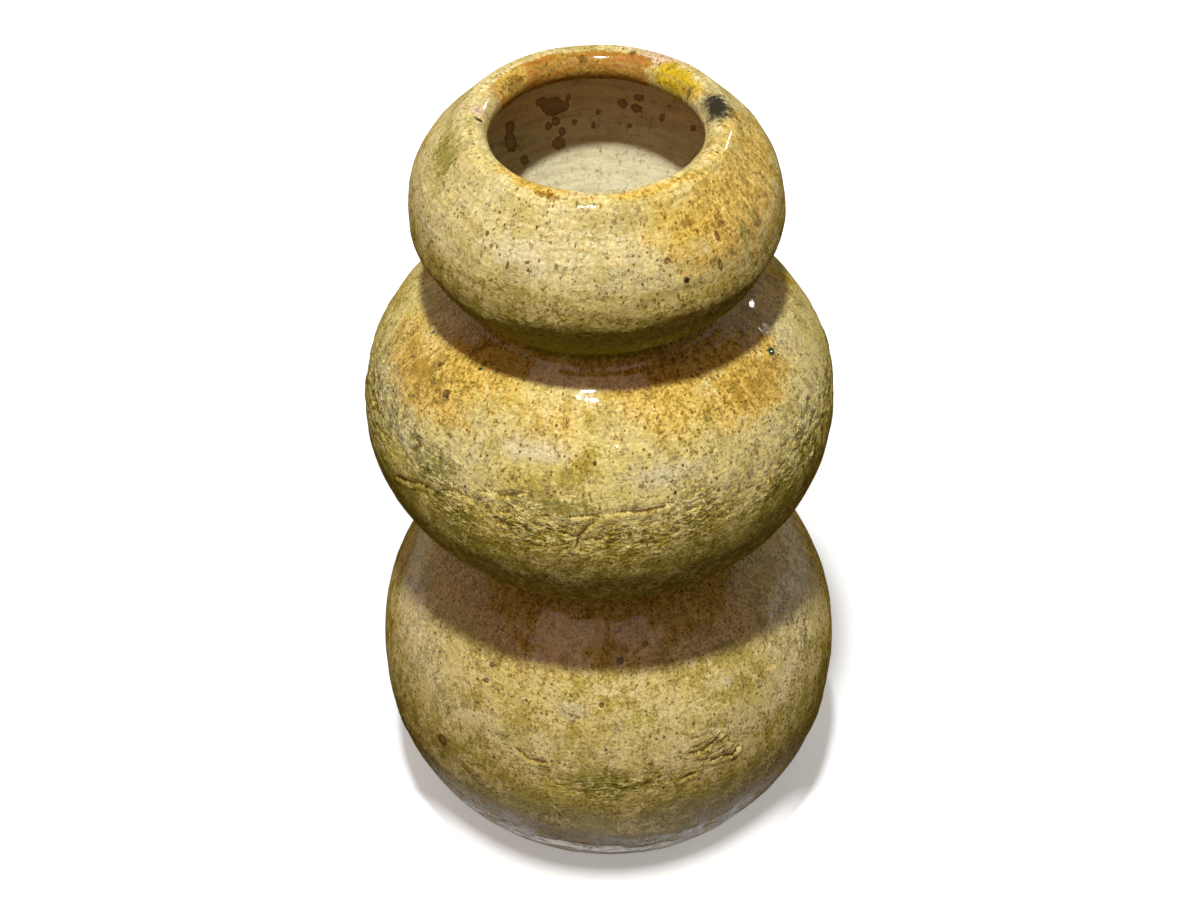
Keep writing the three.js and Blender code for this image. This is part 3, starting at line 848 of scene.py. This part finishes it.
    # Gloss: dull on bare clay, crust, char and dry glaze, and fading to the outline unless it is wet
    worn = m.total(layer["bare"], m.times(layer["crust"], 0.22), m.times(char, 0.9),
                   m.times(layer["dry"], 0.8))
    dull = m.between(worn, 0.05, 1.0)
    rim_view = m.node("LayerWeight", {"Blend": 0.5}).outputs["Facing"]
    pooled_gloss = m.times(m.between(m.total(layer["wet"], stir), 0.1, 0.8), 0.75)
    pooled_gloss = m.math("MAXIMUM", pooled_gloss, m.between(layer["sparkle"], 0.0, 0.4))
    rim_gloss = m.math("MAXIMUM", m.between(rim_view, 0.78, 0.3), pooled_gloss)
    m.feed(m.shader, "Coat Weight", m.times(m.between(dull, 1.0, 0.0), rim_gloss))
    m.feed(m.shader, "Roughness", m.total(m.times(dull, DULL_ROUGHNESS), GLAZE_ROUGHNESS))
    m.feed(m.shader, "Coat Roughness", COAT_ROUGHNESS)
    m.feed(m.shader, "Coat IOR", COAT_IOR)
    m.feed(m.shader, "Specular IOR Level", 0.0)
    return m.material


def fired_slip():
    """Dry slip of the hidden waist joints."""
    m = Finish("luting_slip")
    mottle = m.noise(m.place, 4, 4, 0.6)
    m.feed(m.shader, "Base Color", m.blend(m.between(mottle, 0.35, 0.65), CLAY, CREAM))
    m.feed(m.shader, "Roughness", 0.9)
    grain = m.noise(m.place, 0.9, 3, 0.6)
    m.feed(m.shader, "Normal", m.node("Bump", {"Height": grain, "Distance": 0.2 * MM}).outputs["Normal"])
    return m.material


finishes = {
    "top_glaze": glaze(
        "top_glaze", light=(0.74, 0.63, 0.28), deep=(0.65, 0.53, 0.18), murky=(0.44, 0.34, 0.07),
        bands=0.5, dashes=0.3, peppery=0.15),
    "middle_glaze": glaze(
        "middle_glaze", light=(0.76, 0.65, 0.27), deep=(0.67, 0.56, 0.155), murky=(0.43, 0.33, 0.038),
        bands=0.15, dashes=0.8, peppery=0.5),
    "bottom_glaze": glaze(
        "bottom_glaze", light=(0.85, 0.71, 0.33), deep=(0.77, 0.61, 0.19), murky=(0.51, 0.40, 0.055),
        bands=0.15, dashes=0.3, peppery=0.6),
    "luting_slip": fired_slip(),
}


def bead_points(seat, height):
    """Bead of slip inside a joint, from its upper edge down to its lower one."""
    angle = np.linspace(math.pi / 2, 3 * math.pi / 2, BEAD_STEPS)
    return np.stack([seat + BEAD_DEPTH * np.cos(angle), height + BEAD_HEIGHT / 2 * np.sin(angle)], -1)


def belly_seam(name, bulb, slot):
    low, high = bulb.seam - SLIP / 2, bulb.seam + SLIP / 2
    edges = [bulb.skin(bulb.angle_at_height(z, WALL), WALL)[0] for z in
             (bulb.seam - BEAD_HEIGHT / 2, bulb.seam + BEAD_HEIGHT / 2)]
    seat = min(edges) - CLEARANCE
    back = hidden((seat, high), bead_points(seat, bulb.seam), (seat, low))
    make_piece(name, slot, [shown(name), back])


def waist_seam(name, joint_height):
    low, high = joint_height - SLIP / 2, joint_height + SLIP / 2
    seat = bore - CLEARANCE
    face = np.array([(WAIST_RADIUS, low), (WAIST_RADIUS, high)])
    ring = hidden(face, (seat, high), bead_points(seat, joint_height), (seat, low))
    make_piece(name, "luting_slip", [ring])


def under_coil(bulb, side):
    """Skin of a bulb below its waist coil, from the coil's edge in to the neck."""
    edge, end = side * bulb.angle_at_radius(coil_edge), side * bulb.angle_at_radius(WAIST_RADIUS)
    return bulb.arc(edge, end, UNDER_COIL_ROWS)[1:]


def neck(joint_height, side):
    rim = joint_height + side * SLIP / 2
    return np.array([[WAIST_RADIUS, rim], [bore, rim]])


def shoulder(name, bulb, joint_height, slot):
    wall = bulb.arc(bulb.angle_at_radius(bore, WALL), bulb.angle_at_height(bulb.seam + SLIP / 2, WALL),
                    HIDDEN_ROWS, WALL)
    make_piece(name, slot, [shown(name), hidden(under_coil(bulb, 1), neck(joint_height, -1), wall)])


def inner_wall(bulb):
    return bulb.arc(bulb.angle_at_height(bulb.seam - SLIP / 2, WALL), -bulb.angle_at_radius(bore, WALL),
                    HIDDEN_ROWS, WALL)


def coil(name, below, above, slot):
    """Coil of clay in a groove: its face shows, and its back lies along the two bulbs."""
    back = WAIST_RADIUS + CLEARANCE
    between = np.array([(coil_edge + back) / 2, back])
    roof = np.array([above.belly - above.reach(r, above.drop) - CLEARANCE for r in between])
    ground = np.array([below.belly + below.reach(r, below.rise) + CLEARANCE for r in between])
    back_face = hidden(np.stack([between, roof], -1), np.stack([between, ground], -1)[::-1])
    make_piece(name, slot, [shown(name), back_face])


bottom_floor = bottom.arc(bottom.angle_at_height(bottom.seam - SLIP / 2, WALL),
                          bottom.angle_at_height(FLOOR, WALL), HIDDEN_ROWS, WALL)
middle_inside = hidden(inner_wall(middle), neck(lower_joint, 1)[::-1], under_coil(middle, -1)[::-1])
top_under = hidden(neck(upper_joint, 1)[::-1], under_coil(top, -1)[::-1])
make_piece("bottom_bowl", "bottom_glaze", [shown("bottom_bowl"), hidden(bottom_floor)], capped=True)
belly_seam("bottom_belly_seam", bottom, "bottom_glaze")
shoulder("bottom_shoulder", bottom, lower_joint, "bottom_glaze")
waist_seam("lower_waist_seam", lower_joint)
coil("lower_waist_coil", bottom, middle, "middle_glaze")
make_piece("middle_bowl", "middle_glaze", [shown("middle_bowl"), middle_inside])
belly_seam("middle_belly_seam", middle, "middle_glaze")
shoulder("middle_shoulder", middle, upper_joint, "middle_glaze")
waist_seam("upper_waist_seam", upper_joint)
coil("upper_waist_coil", middle, top, "middle_glaze")
make_piece("top_bowl", "top_glaze", [shown("top_bowl"), shown("top_bowl_inside"), top_under])
make_piece("top_belly_seam", "top_glaze", [shown("top_belly_seam"), shown("top_seam_inside")])
make_piece("top_shoulder", "top_glaze", [shown("top_shoulder")])


# Stage: a pale floor that sweeps up into a wall all round
SWEEP_STEPS = 12
SWEEP_SIDES = 64
SWEEP_FLOOR = 2.4
SWEEP_CURVE = 1.0
SWEEP_WALL = 1.6
sweep = [(SWEEP_FLOOR + SWEEP_CURVE * math.sin(t), SWEEP_CURVE * (1 - math.cos(t)))
         for t in np.linspace(0, math.pi / 2, SWEEP_STEPS)]
sweep += [(SWEEP_FLOOR + SWEEP_CURVE, SWEEP_CURVE + SWEEP_WALL)]
corners = [(0, 0, 0)]
sides = [(k, (k + 1) % SWEEP_SIDES) for k in range(SWEEP_SIDES)]
for radius, height in sweep:
    angles = [2 * math.pi * k / SWEEP_SIDES for k in range(SWEEP_SIDES)]
    corners += [(radius * math.cos(a), radius * math.sin(a), height) for a in angles]
faces = [(0, 1 + k, 1 + after) for k, after in sides]
for ring in range(len(sweep) - 1):
    low, high = 1 + ring * SWEEP_SIDES, 1 + (ring + 1) * SWEEP_SIDES
    faces += [(low + after, low + k, high + k, high + after) for k, after in sides]
sheet = bpy.data.meshes.new("floor")
sheet.from_pydata(corners, [], faces)
sheet.polygons.foreach_set("use_smooth", [True] * len(faces))
floor = bpy.data.objects.new("floor", sheet)
bpy.context.scene.collection.objects.link(floor)

# Paper of the floor: dim in the light that it throws on the vase, white where it is seen
PAPER = (0.19, 0.155, 0.10, 1)
PAPER_SEEN = (0.88, 0.925, 0.97, 1)

# Its glow, least and far away, and the distances in metres over which it rises and then falls
GLOW = 0.31
GLOW_FAR = 0.55
GLOW_RISE = (0.1, 0.34)
GLOW_FALL = (1.5, 0.8)

# In front of the vase the glow starts closer: by distance from a middle of its own, and by place in Y
GLOW_MIDDLE = (0, 0.02, 0)
GLOW_EDGE = (0.076, 0.09)
GLOW_FRONT = (-0.01, -0.05)
paper = Finish("paper")
rays = paper.node("LightPath").outputs
seen = paper.total(rays["Is Camera Ray"], rays["Is Glossy Ray"], rays["Is Transmission Ray"])
away = paper.node("VectorMath", {0: paper.place}, operation="LENGTH").outputs["Value"]
beside = paper.node("VectorMath", {0: paper.place, 1: GLOW_MIDDLE}, operation="DISTANCE").outputs["Value"]
forward = paper.node("SeparateXYZ", {0: paper.place}).outputs[1]
front = paper.times(paper.between(beside, *GLOW_EDGE), paper.between(forward, *GLOW_FRONT))
near = paper.math("MAXIMUM", paper.between(away, *GLOW_RISE), front)
bright = paper.math("MINIMUM", near, paper.math("MAXIMUM", paper.between(away, *GLOW_FALL), GLOW_FAR))
glow = paper.math("MAXIMUM", bright, GLOW)
plain_paper = paper.node("BsdfDiffuse", {"Color": PAPER}).outputs[0]
lit_paper = paper.node("BsdfDiffuse", {"Color": PAPER_SEEN}).outputs[0]
glowing = paper.node("Emission", {"Color": (1, 1, 1, 1), "Strength": glow}).outputs[0]
white = paper.node("AddShader", {0: lit_paper, 1: glowing}).outputs[0]
shade = paper.node("MixShader", {0: paper.math("MINIMUM", seen, 1.0), 1: plain_paper, 2: white})
paper.tree.links.new(shade.outputs[0], paper.tree.nodes["Material Output"].inputs["Surface"])
floor.data.materials.append(paper.material)

# Faint light of the room
ROOM_COLOUR = (1.0, 0.88, 0.7, 1)
ROOM_LIGHT = 0.03
world = bpy.data.worlds.new("room")
bpy.context.scene.world = world
world.use_nodes = True
world.node_tree.nodes["Background"].inputs["Color"].default_value = ROOM_COLOUR
world.node_tree.nodes["Background"].inputs["Strength"].default_value = ROOM_LIGHT

VASE_MIDDLE = Vector((0, 0, 0.16))


def lamp(name, place, size, energy, shape="ELLIPSE", colour=(1, 1, 1), lights=True, shines=True):
    """Area lamp that faces the vase, and lights it, shows in its gloss, or both."""
    light = bpy.data.lights.new(name, "AREA")
    light.shape = shape
    light.size, light.size_y = size
    light.energy = energy
    light.color = colour
    made = bpy.data.objects.new(name, light)
    made.location = place
    made.rotation_mode = "QUATERNION"
    made.rotation_quaternion = (VASE_MIDDLE - made.location).to_track_quat("-Z", "Y")
    made.visible_diffuse = lights
    made.visible_glossy = shines
    bpy.context.scene.collection.objects.link(made)


CARD_COLOUR = (1, 0.66, 0.6)
lamp("key", place=(-0.045, -0.268, 1.1), size=(0.06, 0.06), energy=8.2)
lamp("ceiling", place=(-0.24, -0.55, 1.25), size=(1.1, 1.1), energy=3.6, shape="RECTANGLE",
     colour=(1, 0.62, 0.42), shines=False)
lamp("left card", place=(-0.41, -0.65, 1.25), size=(0.66, 1.1), energy=4.2, shape="RECTANGLE",
     colour=CARD_COLOUR, lights=False)
lamp("right card", place=(0.29, -0.65, 1.25), size=(0.48, 0.9), energy=2.35, shape="RECTANGLE",
     colour=CARD_COLOUR, lights=False)
lamp("window", place=(0.75, 0.72, 0.75), size=(0.13, 0.13), energy=1.7, lights=False)
lamp("rim", place=(0.9, 0.6, 0.5), size=(0.4, 0.4), energy=1.3, colour=(1, 0.85, 0.6), shines=False)
lamp("back", place=(-0.35, 1.3, 0.9), size=(1.2, 1.2), energy=4.5, shape="RECTANGLE",
     colour=(1, 0.92, 0.78), shines=False)

# Camera
LENS = 54
SENSOR_WIDTH = 36
CAMERA_PLACE = Vector((-0.0025, -0.4277, 0.6002))
CAMERA_AIM = Vector((-0.0025, 0, 0.1644))
CAMERA_ROLL = 0.009
camera = bpy.data.objects.new("camera", bpy.data.cameras.new("camera"))
camera.data.lens = LENS
camera.data.sensor_width = SENSOR_WIDTH
camera.location = CAMERA_PLACE
camera.rotation_mode = "QUATERNION"
facing = (CAMERA_AIM - CAMERA_PLACE).to_track_quat("-Z", "Y")
camera.rotation_quaternion = facing @ Quaternion((0, 0, 1), -CAMERA_ROLL)
bpy.context.scene.collection.objects.link(camera)
bpy.context.scene.camera = camera

bpy.context.scene.view_settings.view_transform = "Standard"

bpy.context.view_layer.update()
